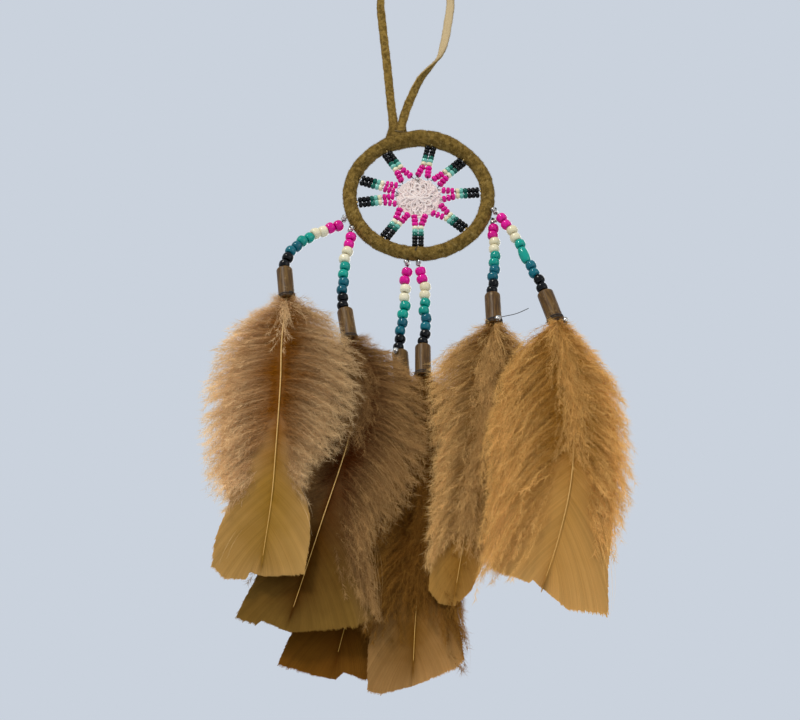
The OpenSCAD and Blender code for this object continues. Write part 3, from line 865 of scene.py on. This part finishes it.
def make_rosette():
    """A dense mat of twisted thread: leaf loops round a knot, a loop below it and a silver bead above."""
    rng = np.random.default_rng(8)
    low, high = node_box("centre_rosette")
    reach = (high[0] - low[0]) / 2 + 1.9
    middle = HOOP + np.array([0, 0, -0.9])
    shape = Shape()
    for count, inner, outer, offset, lift, broad in LEAF_RINGS:
        for k in range(count):
            a = 2 * np.pi * (k + offset + rng.uniform(-0.15, 0.15)) / count + 0.4
            t = np.linspace(0, 2 * np.pi, 36)
            far = reach * outer * rng.uniform(0.86, 1.0)
            radial = inner + (far - inner) * (0.5 - 0.5 * np.cos(t))
            aside = broad * np.sin(t) * (0.6 + 0.5 * np.sin(t / 2)) * rng.uniform(0.85, 1.15)
            forward = 0.35 * np.sin(t + k) - lift
            x = radial * math.cos(a) - aside * math.sin(a)
            z = radial * math.sin(a) + aside * math.cos(a)
            add_twist(shape, middle + np.stack([x, forward, z], axis=1), 0.46, 1.3, tone=rng.random())
    coil_gap = 0.72
    a = np.sqrt(np.linspace(0.2, 1, 900)) * 2 * np.pi * (reach - 0.9) / coil_gap
    coil = a * coil_gap / (2 * np.pi) + 0.15 * np.sin(11 * a)
    mat = np.stack([coil * np.cos(a), 0.35 + 0.3 * np.sin(7 * a), coil * np.sin(a)], axis=1)
    add_twist(shape, middle + mat, 0.44, 1.3, tone=0.35)
    t = np.linspace(0, 2 * np.pi, 40)
    lobe = np.stack([1.6 * np.sin(t), -0.5 + 0.3 * np.sin(t), -5.5 - 2.9 * (1 - np.cos(t))], axis=1)
    add_twist(shape, HOOP + lobe, 0.46, 1.3, tone=0.7)
    for r, lift in ((0.8, -1.1), (1.7, -0.9), (2.8, -0.6), (4.2, -0.2), (5.8, 0.0)):
        t = np.linspace(0, 2 * np.pi, 90)
        wobble = r + 0.25 * np.sin(9 * t + r)
        ring = np.stack([wobble * np.cos(t), lift + 0.25 * np.sin(9 * t), wobble * np.sin(t)], axis=1)
        add_twist(shape, middle + ring, 0.42, 1.2, tone=rng.random())
    piece("woven_rosette", shape, pale_thread, "hoop", ["centre_rosette"])
    make_silver_bead("charm_bead", "hoop", [-0.6, -0.9, 7.6], [0.2, 0.3, 1.0], (1.5, 1.05, 0.35), 22, 0.7)


# Places round the ring, from +X towards +Z: the spokes' outer ends, and a thread that crosses the ring
SPOKE_ANGLES = [3.5, 43, 78, 122, 162, 188, 236, 269, 319]
CROSSING_ANGLE = 267.4


def make_ties():
    """The thread that crosses the ring, a knot above each crimp, and tiny gilt glints at the spokes."""
    rng = np.random.default_rng(17)
    threads, glints = Shape(), Shape()
    for angle in SPOKE_ANGLES:
        u = math.radians(angle + rng.uniform(-0.6, 0.6))
        knot = ring_point(np.array(u), np.array(math.pi - 0.25), np.array(wrap_r + 0.25))
        profile = [(0.12, -0.3), (0.34, -0.34), (0.42, 0), (0.34, 0.34), (0.12, 0.3), (0.1, 0)]
        add_lathe(glints, profile, knot, unit(rng.normal(0, 1, 3)), 14, tone=rng.random())
    for centre, _, _, r in solids("silver_crimps"):
        t = np.linspace(0, 1, 60)
        a = 2 * np.pi * 2.5 * t + rng.uniform(0, 6)
        path = centre + np.stack([0.42 * np.cos(a), 0.42 * np.sin(a), r + 0.1 + 0.7 * t], axis=1)
        add_twist(threads, path, 0.2, 0.8, tone=0.4)
    u = math.radians(CROSSING_ANGLE)
    v = np.linspace(0.1, np.pi + 0.2, 50)
    over = ring_point(u + 0.03 * np.sin(v), 1.7 * np.pi - v * 1.15, wrap_r + 0.28 + 0 * v)
    add_twist(threads, over, 0.19, 0.8, tone=0.4)
    piece("tie_threads", threads, black_thread, "hoop")
    piece("spoke_glints", glints, metal_look("gilt", (226, 196, 130), (140, 110, 60), 0.25), "hoop")


# ---- Feathers ----

# The rachis of each feather, about the hoop's centre, in x and z
RACHIS = [
    [[-54, -62], [-55, -77], [-55, -96], [-56, -125], [-57, -146], [-59, -165], [-60, -174]],
    [[-26.5, -80], [-24.5, -94], [-26, -107], [-30, -125], [-38, -153], [-45, -178], [-49, -192]],
    [[-6.8, -92], [-8, -108], [-13, -134], [-20, -160], [-27, -185], [-32, -206]],
    [[1.4, -91], [2, -109], [2, -135], [0, -165], [-2, -190], [-3, -211]],
    [[30, -68], [28.5, -79], [26, -97], [23, -120], [19, -142], [16, -163], [13, -181]],
    [[56, -70], [58, -83], [60.5, -101], [60, -120], [57.5, -141], [52, -163], [46, -181]],
]


def vane_edges(n):
    """The vane's outline as pairs of points in x and z, from the walls of its CAD solid."""
    triangles = corner_points(f"feather_{n}")
    area = np.cross(triangles[:, 1] - triangles[:, 0], triangles[:, 2] - triangles[:, 0])
    sideways = np.abs(unit(area)[:, 1]) < 0.05
    tall = np.ptp(triangles[:, :, 1], axis=1) > 0.9
    walls = triangles[sideways & tall][:, :, [0, 2]]
    pairs = []
    for wall in walls:
        sides = [[wall[k], wall[(k + 1) % 3]] for k in range(3)]
        pairs.append(max(sides, key=lambda side: np.linalg.norm(side[0] - side[1])))
    return np.array(pairs)


def reach_of(start, direction, edges):
    """How far each ray goes before it meets the outline, past its first 1.2 mm."""
    a, b = edges[None, :, 0], edges[None, :, 1]
    side = b - a
    d = direction[:, None]
    off = a - start[:, None]
    cross = d[..., 0] * side[..., 1] - d[..., 1] * side[..., 0]
    cross = np.where(np.abs(cross) < 1e-9, 1e-9, cross)
    t = (off[..., 0] * side[..., 1] - off[..., 1] * side[..., 0]) / cross
    s = (off[..., 0] * d[..., 1] - off[..., 1] * d[..., 0]) / cross
    t = np.where((s > -0.001) & (s < 1.001) & (t > 1.2), t, 1e3)
    return t.min(axis=1)


def curves(start, middle, end, count):
    """Quadratic curves from start by way of middle to end, each with count points."""
    t = np.linspace(0, 1, count)[None, :, None]
    return (1 - t) ** 2 * start[:, None] + 2 * t * (1 - t) * middle[:, None] + t**2 * end[:, None]


def add_ribbons(shape, lines, width, tilt, **values):
    """Flat ribbons along many lines. width is by line and point, tilt is each line's turn about itself."""
    along = unit(np.gradient(lines, axis=1))
    across = unit(np.cross(along, FORWARD))
    lift = np.cross(along, across)
    side = across * np.cos(tilt)[:, None, None] + lift * np.sin(tilt)[:, None, None]
    points = np.stack([lines - side * width[..., None] / 2, lines + side * width[..., None] / 2], axis=2)
    rows, count = lines.shape[:2]
    one = grid_faces(count, 2, False)
    faces = (one[None] + (np.arange(rows) * count * 2)[:, None, None]).reshape(-1, 4)
    wide = {k: np.repeat(np.broadcast_to(v, (rows, count)).ravel(), 2) for k, v in values.items()}
    shape.add(points.reshape(-1, 3), [faces], **wide)


def add_web(shape, lines, **values):
    """One closed surface through neighbouring barb lines."""
    rows, count = lines.shape[:2]
    wide = {k: np.broadcast_to(v, (rows, count)).ravel() for k, v in values.items()}
    shape.add(lines.reshape(-1, 3), [grid_faces(rows, count, False)], **wide)


def add_barbules(shape, lines, gap, long, rng, first=0.0, **values):
    """Fine hairs along both sides of many barbs, past a first share of each, as thin triangles."""
    along = np.linalg.norm(np.diff(lines, axis=1), axis=2).sum(axis=1)
    count = np.maximum(2, (along / gap).astype(int))
    owner = np.repeat(np.arange(len(lines)), count)
    first = np.broadcast_to(first, len(lines))[owner]
    t = first + (1 - first) * rng.uniform(0.02, 1.0, len(owner)) ** 0.8
    at = t * (lines.shape[1] - 1)
    low = np.minimum(at.astype(int), lines.shape[1] - 2)
    part = (at - low)[:, None]
    a, b = lines[owner, low], lines[owner, low + 1]
    root = a * (1 - part) + b * part
    ahead = unit(b - a)
    sign = np.where(rng.random(len(owner)) < 0.5, -1.0, 1.0)[:, None]
    flat = unit(np.cross(ahead, FORWARD)) * sign
    away = unit(ahead * rng.uniform(1.1, 2.6, (len(owner), 1)) + flat + rng.normal(0, 0.4, (len(owner), 3)))
    size = (long * rng.uniform(0.5, 1.3, len(owner)))[:, None]
    base = unit(np.cross(away, FORWARD)) * 0.05
    points = np.stack([root - base, root + base, root + away * size], axis=1)
    faces = np.arange(len(owner) * 3).reshape(-1, 3)
    wide = {k: np.repeat(np.broadcast_to(v, lines.shape[:2])[owner, low], 3) for k, v in values.items()}
    shape.add(points.reshape(-1, 3), [faces], **wide)


def wander(f, rng, waves_and_sizes):
    """A smooth random offset along the rachis."""
    return sum(size * np.sin(2 * np.pi * f * count + rng.uniform(0, 6.3)) for count, size in waves_and_sizes)


class Plume:
    """One feather's rachis, outline and barb angles, from which its barbs are drawn."""

    def __init__(self, n):
        low, high = node_box(f"feather_{n}")
        self.n = n
        self.y = (low[1] + high[1]) / 2 - HOOP[1]
        self.tube = solids(f"wood_tube_{n}")[0]
        foot = self.tube[0] + self.tube[1] * self.tube[2] / 2 - HOOP
        self.edges = vane_edges(n) - HOOP[[0, 2]]
        self.spine = spaced(smooth_path([[foot[0], foot[2]], *RACHIS[n - 1]], 8), 160)
        self.full = path_length(self.spine)
        self.down_end = DOWN_ENDS[n - 1]
        self.spread = dict(zip((-1, 1), SPREADS[n - 1]))
        self.cover_deep = COVER_DEEPS[n - 1]
        self.down_tones_with_side_shade = dict(zip((-1, 1), DOWN_TONES_WITH_SIDE_SHADE[n - 1]))
        self.vane_tones_with_side_light = dict(zip((-1, 1), VANE_TONES_WITH_SIDE_LIGHT[n - 1]))

    def chord(self, f):
        return np.radians(np.interp(f, ANGLE_PLACES, BARB_ANGLES[self.n - 1]))

    def barbs(self, f, sign, chord, bow, points, layer, depth, reach, extra=0.0, limit=200.0):
        """Barb lines from shares f of the rachis, on the side given by sign.

        A barb's chord is at the angle chord to the rachis, and the barb leaves it wider by bow. It ends
        at a share reach of the way to the outline and extra mm more, or at limit mm. It starts layer mm
        behind the feather's middle and drifts depth mm further back.
        """
        at = f * (len(self.spine) - 1)
        low = np.minimum(at.astype(int), len(self.spine) - 2)
        start = self.spine[low] + (self.spine[low + 1] - self.spine[low]) * (at - low)[:, None]
        ahead = unit(np.gradient(self.spine, axis=0))[low]
        outward = np.stack([ahead[:, 1], -ahead[:, 0]], axis=1) * -sign

        def towards(angle):
            return ahead * np.cos(angle)[:, None] + outward * np.sin(angle)[:, None]

        far = towards(chord)
        size = reach_of(start, far, self.edges)
        size = np.where(size > 200, 2.0, size) * reach + extra
        size = np.minimum(size, limit)
        end = start + far * size[:, None]
        middle = start + towards(chord + bow) * (size * 0.52)[:, None]
        flat = curves(start, middle, end, points)
        t = np.linspace(0, 1, points)[None]
        lift = self.y + layer + depth[:, None] * t
        return np.stack([HOOP[0] + flat[..., 0], HOOP[1] + lift, HOOP[2] + flat[..., 1]], axis=2)


# Where along the rachis the barb angles below hold, and each feather's angles from the tip's direction there
ANGLE_PLACES = [0, 0.3, 0.65, 0.88, 1]
BARB_ANGLES = [
    [84, 68, 44, 30, 0.4], [82, 66, 42, 30, 0.4], [62, 48, 34, 26, 0.4],
    [62, 50, 36, 28, 0.4], [60, 44, 36, 26, 0.4], [56, 42, 32, 24, 0.4],
]
# The share of each rachis that carries loose down
DOWN_ENDS = [0.58, 0.62, 0.55, 0.66, 0.7, 0.56]
# How much wider than its outline the down spreads below the tube, on the left and on the right
SPREADS = [(0.1, 0.45), (0.2, 0.4), (0.1, 0.1), (0.2, 0.2), (0.5, 0.15), (0.25, 0.0)]
# How light the down and the vane are on the left and on the right: partly the feather's own tone, and partly
# painted light and shade, a side lighter where it faces the light and darker where it lies in shadow
DOWN_TONES_WITH_SIDE_SHADE = [(0.54, 0.1), (0.1, 0.42), (0.45, 0.45), (0.4, 0.4), (0.42, 0.3), (0.46, 0.5)]
VANE_TONES_WITH_SIDE_LIGHT = [(0.48, 0.52), (0.48, 0.55), (0.5, 0.5), (0.45, 0.85), (0.5, 0.5), (0.54, 0.54)]
# How deep the colour is of the down that lies across each rachis
COVER_DEEPS = [0.2, 0.8, 0.8, 0.8, 0.65, 0.6]
# The first and last share of each rachis that loose down hides, and how many barbs hide it
COVERS = [(0, 0.04, 10), (0, 0.26, 160), (0, 0.6, 260), (0, 0.7, 380), (0, 0.72, 420), (0, 0.4, 220)]


def add_vane(shape, plume, sign, rng):
    """The closed web of one side, with every barb on it, and backing for the down above."""
    f = np.linspace(0.01, 0.999, int(plume.full / 0.34))
    soft = np.clip((plume.down_end + 0.1 - f) / 0.2, 0, 1)
    chord = plume.chord(f)
    opened = np.clip(chord / 0.4, 0, 1)
    chord = chord + opened * wander(f, rng, ((4, 0.02), (9, 0.012)))
    bow = np.radians(9 + 6 * soft) * opened
    depth = 1.3 + 0.6 * np.sin(f * 8 + plume.n) + 0.25 * np.sin(f * 23 + sign)
    ragged = 0.006 * rng.normal(size=len(f)) + wander(f, rng, ((17, 0.004), (41, 0.004)))
    reach = 0.985 - 0.17 * soft + (1 - soft) * ragged
    t = np.linspace(0, 1, 12)[None]
    # Each side's mean tone holds painted light and shade, plus random drift
    tone = plume.vane_tones_with_side_light[sign] + wander(f, rng, ((3, 0.06), (11, 0.05), (29, 0.04)))
    # Darker towards the rachis: partly the vane's own colour, partly painted shade
    deep = (1 - t) ** 1.1 * 0.95 + 0 * f[:, None]
    lines = plume.barbs(f, sign, chord, bow, 12, 0.0, depth, reach)
    add_web(shape, lines, tone=tone[:, None], down=soft[:, None], deep=deep)
    gap = np.linalg.norm(np.diff(lines, axis=0, append=lines[-1:]), axis=2)
    width = np.clip(1.2 * gap, 0.3, 1.3) * np.clip((1.02 - t) * 10, 0.25, 1)
    barb_tone = np.clip(tone + 0.07 * rng.normal(size=len(f)), 0, 1)
    longer = plume.barbs(f, sign, chord, bow, 12, -0.05, depth, reach + 0.01 + 0.018 * rng.random(len(f)))
    add_ribbons(
        shape, longer, width, 0.16 * sign + rng.normal(0, 0.05, len(f)),
        tone=barb_tone[:, None], down=soft[:, None], deep=deep,
    )


# The layers of loose down, from well in front of the vane, which is at 0, to behind it
DOWN_LAYERS = [-2.1, -1.5, -0.9, -0.4, 0.7, 1.6]


def add_down(shape, plume, sign, rng):
    """Layers of loose curved barbs in front of and behind the vane, each barb with its own fine hairs."""
    t = np.linspace(0, 1, 9)[None]
    for layer in DOWN_LAYERS:
        f = np.arange(0.0, plume.down_end + 0.08, 0.62 / plume.full)
        f = np.clip(f + rng.normal(0, 0.002, len(f)), 0, 0.98)
        f = f[rng.random(len(f)) < np.clip((plume.down_end + 0.09 - f) / 0.14, 0, 1)]
        clump = wander(f, rng, ((9, 0.05), (21, 0.05), (37, 0.04)))
        chord = plume.chord(f) + clump + rng.normal(0, 0.09, len(f))
        bow = np.radians(rng.normal(15, 12, len(f)))
        depth = layer * 1.1 + rng.normal(0, 1.2, len(f))
        wider = 1 + plume.spread[sign] * np.exp(-((f / 0.28) ** 2))
        reach, extra = rng.uniform(0.55, 1.03, len(f)) * wider, rng.uniform(0, 4.0, len(f)) * wider
        lines = plume.barbs(f, sign, chord, bow, 9, layer * 0.5, depth, reach, extra)
        # Each side's mean tone holds painted light and shade, plus random spread
        tone = np.clip(rng.normal(plume.down_tones_with_side_shade[sign], 0.16, len(f)) + 1.5 * clump, 0, 1)[:, None]
        # Darker towards each barb's root: partly the down's own colour, partly painted shade
        deep = np.clip(1.05 * (1 - t) - 0.04 * layer - 0.1, 0, 1) + 0 * f[:, None]
        near = np.clip((f - plume.down_end + 0.14) / 0.16, 0, 1)[:, None]
        width = 0.14 * np.clip(0.2 + 2.6 * (t - 0.5 * near), 0.12, 1) * (1.08 - t)
        turn = rng.uniform(-1.0, 1.0, len(f))
        add_ribbons(shape, lines, width, turn, tone=tone, down=1 - 0.8 * near, deep=deep)
        add_barbules(shape, lines, 0.36, 3.0, rng, tone=tone, down=1.0, deep=deep, first=0.5 * near[:, 0])


def add_tuft(shape, plume, sign, rng):
    """Short down that stands round the tube's foot."""
    count = 60
    t = np.linspace(0, 1, 9)[None]
    f = rng.uniform(0, 0.03, count)
    chord = rng.uniform(0.15, 1.4, count)
    lines = plume.barbs(
        f, sign, chord, rng.normal(0.2, 0.2, count), 9, rng.uniform(-2, 1), rng.normal(-1, 2, count),
        1.0, 2.0, rng.uniform(7, 16, count),
    )
    width = 0.16 * (1.08 - t) + 0 * f[:, None]
    # Darker towards the root: partly the down's own colour, partly painted shade
    add_ribbons(shape, lines, width, rng.uniform(-1, 1, count), tone=0.6, down=1.0, deep=0.25 * (1 - t))
    add_barbules(shape, lines, 0.5, 2.2, rng, tone=0.45, down=1.0, deep=0.3)


def add_strays(shape, plume, sign, count, first, last, rng):
    """A few long pale barbs that curve clear of the rest."""
    t = np.linspace(0, 1, 12)[None]
    f = rng.uniform(first, last, count)
    chord = plume.chord(f) * rng.uniform(0.75, 1.05, count)
    bow = np.radians(rng.uniform(10, 40, count))
    lines = plume.barbs(
        f, sign, chord, bow, 12, -1.8, rng.uniform(-3.0, -0.5, count), rng.uniform(0.85, 1.05, count),
        rng.uniform(0.0, 4.5, count),
    )
    pale = rng.uniform(0.7, 1.0, count)[:, None]
    hidden = rng.uniform(0.25, 0.5, count)[:, None]
    width = 0.19 * np.clip(4 * (t - hidden), 0.08, 1) * (1.05 - t)
    # Darker towards the root: partly the barb's own colour, partly painted shade
    deep = np.clip(1.3 - 1.6 * t, 0, 1) + 0 * f[:, None]
    add_ribbons(shape, lines, width, rng.uniform(-0.5, 0.5, count), tone=pale, down=1.0, deep=deep)


def add_cover(shape, plume, rng):
    """Down that lies across the rachis and hides its upper part."""
    first, last, count = COVERS[plume.n - 1]
    t = np.linspace(0, 1, 9)[None]
    for sign in (-1, 1):
        f = rng.uniform(first, last, count)
        lines = plume.barbs(
            f, sign, rng.uniform(-0.3, 0.45, count), rng.normal(0.1, 0.35, count), 9, -rng.uniform(1.0, 2.0),
            rng.normal(-0.6, 0.8, count), 1.0, 3.0, rng.uniform(7, 24, count),
        )
        tone = rng.uniform(0.2, 0.8, count)[:, None]
        width = 0.17 * np.clip(0.4 + 2.6 * t, 0, 1) * (1.08 - t) + 0 * f[:, None]
        # Darker towards the root: partly the down's own colour, partly painted shade
        deep = plume.cover_deep * (1 - 0.65 * t) + 0 * f[:, None]
        colours = {"tone": tone, "down": 1.0, "deep": deep}
        add_ribbons(shape, lines, width, rng.uniform(-1, 1, count), **colours)
        add_barbules(shape, lines, 0.45, 2.4, rng, **colours)


def make_feather(n):
    """One feather: a curved rachis, a closed vane of barbs, and loose down over its upper part."""
    rng = np.random.default_rng(700 + n)
    kind, shades = FEATHERS[n - 1]
    slot = f"{kind}_feather"
    look = feather_look(f"{slot}_{n}", *shades)
    plume = Plume(n)
    vane, down = Shape(), Shape()
    for sign in (-1, 1):
        add_vane(vane, plume, sign, rng)
        add_down(down, plume, sign, rng)
        add_tuft(down, plume, sign, rng)
    add_cover(down, plume, rng)
    for sign, count, first, last in STRAYS[n - 1]:
        add_strays(down, plume, sign, count, first, last, rng)
    piece(f"plume_{n}", vane, look, f"plume_{n}", [f"feather_{n}"])
    piece(f"down_{n}", down, look, f"plume_{n}")
    shaft = Shape()
    spine = plume.spine[: int(len(plume.spine) * 0.97)]
    flat = HOOP[1] + plume.y - 0.7 * np.clip(np.arange(len(spine)) / 12, 0, 1)
    line = np.stack([HOOP[0] + spine[:, 0], flat, HOOP[2] + spine[:, 1]], axis=1)
    line = np.concatenate([[line[0] - plume.tube[1] * 1.8], line])
    t = np.linspace(0, 1, len(line))
    add_tube(shaft, line, np.interp(t, [0, 0.1, 0.5, 1], [0.6, 0.32, 0.25, 0.1]), 10, flat=0.85, tone=t)
    piece(f"quill_{n}", shaft, quill, f"plume_{n}")


# Each feather's kind and colours: its down at the rim and by the rachis, then its vane there; the colours by
# the rachis are partly painted shade
FEATHERS = [
    ("tan", ((240, 206, 154), (148, 88, 8), (196, 154, 88), (164, 122, 44))),
    ("brown", ((186, 146, 92), (84, 36, 0), (136, 102, 44), (78, 42, 0))),
    ("brown", ((140, 98, 38), (82, 44, 2), (124, 80, 22), (96, 54, 6))),
    ("brown", ((156, 110, 46), (94, 50, 2), (172, 130, 76), (118, 76, 16))),
    ("tan", ((236, 194, 126), (128, 78, 10), (182, 136, 68), (162, 114, 44))),
    ("golden", ((238, 192, 116), (166, 112, 32), (206, 160, 92), (194, 146, 74))),
]
# Each feather's pale strays: the side, how many, and the first and last share of the rachis that they leave
STRAYS = [
    [(-1, 14, 0.2, 0.8), (1, 12, 0.3, 0.75)],
    [(-1, 40, 0.1, 0.6), (1, 200, 0.1, 0.66)],
    [],
    [(1, 80, 0.2, 0.7), (-1, 50, 0.2, 0.7)],
    [(-1, 90, 0.1, 0.75), (1, 70, 0.2, 0.8)],
    [(-1, 80, 0.1, 0.6), (1, 100, 0.1, 0.7)],
]


# ---- Room ----

# Each light's name, place and width in metres, power in watts and colour
LIGHTS = [
    ("key", (-0.9, -1.5, 1.1), 0.45, 25.0, (1.0, 0.93, 0.82)),
    ("fill", (1.4, -1.2, -0.1), 1.4, 7.0, (1.0, 0.96, 0.9)),
    ("back", (0.5, 1.6, 0.7), 1.2, 12.0, (1.0, 0.97, 0.92)),
]
FLOOR_HALF_WIDTH = 9000.0
FLOOR_BELOW = 620


def make_room():
    """A plain pale floor well below the object, a backdrop colour, and soft light from three sides."""
    floor = Shape()
    level = cad_box[0][2] / MM - FLOOR_BELOW
    side = np.linspace(-FLOOR_HALF_WIDTH, FLOOR_HALF_WIDTH, 5)
    x, y = np.meshgrid(side, side)
    floor.add(np.stack([x, y, np.full_like(x, level)], axis=2).reshape(-1, 3), [grid_faces(5, 5, False)])
    piece("floor", floor, floor_look("floor"), None)
    world = bpy.data.worlds.new("studio")
    world.use_nodes = True
    sky = world.node_tree.nodes["Background"]
    sky.inputs["Color"].default_value = paint(202, 210, 221)
    sky.inputs["Strength"].default_value = 1.0
    bpy.context.scene.world = world
    bpy.context.scene.view_settings.view_transform = "Standard"
    for name, place, size, power, colour in LIGHTS:
        light = bpy.data.objects.new(name, bpy.data.lights.new(name, "AREA"))
        light.data.size, light.data.energy, light.data.color = size, power, colour
        light.location = place
        light.rotation_euler = (Vector(CAMERA_AIM * MM) - light.location).to_track_quat("-Z", "Y").to_euler()
        bpy.context.scene.collection.objects.link(light)


make_wrap()
make_hitch()
make_crimps()
make_web_beads()
make_rosette()
make_ties()
for n in STRANDS:
    beads, tube = strand_stops(n)
    make_strand_beads(n)
    make_thread(n, beads, tube)
    make_tube(n, tube)
for n, place in FOOT_CRIMPS.items():
    make_silver_bead(f"foot_crimp_{n}", f"strand_{n}", place, [0.3, 0.2, 1.0], (2.0, 1.15, 0.4), 24, 0.5)
for n in STRANDS:
    make_feather(n)
dress("web_thread", black_thread)
dress("hoop_core", silver)
make_room()
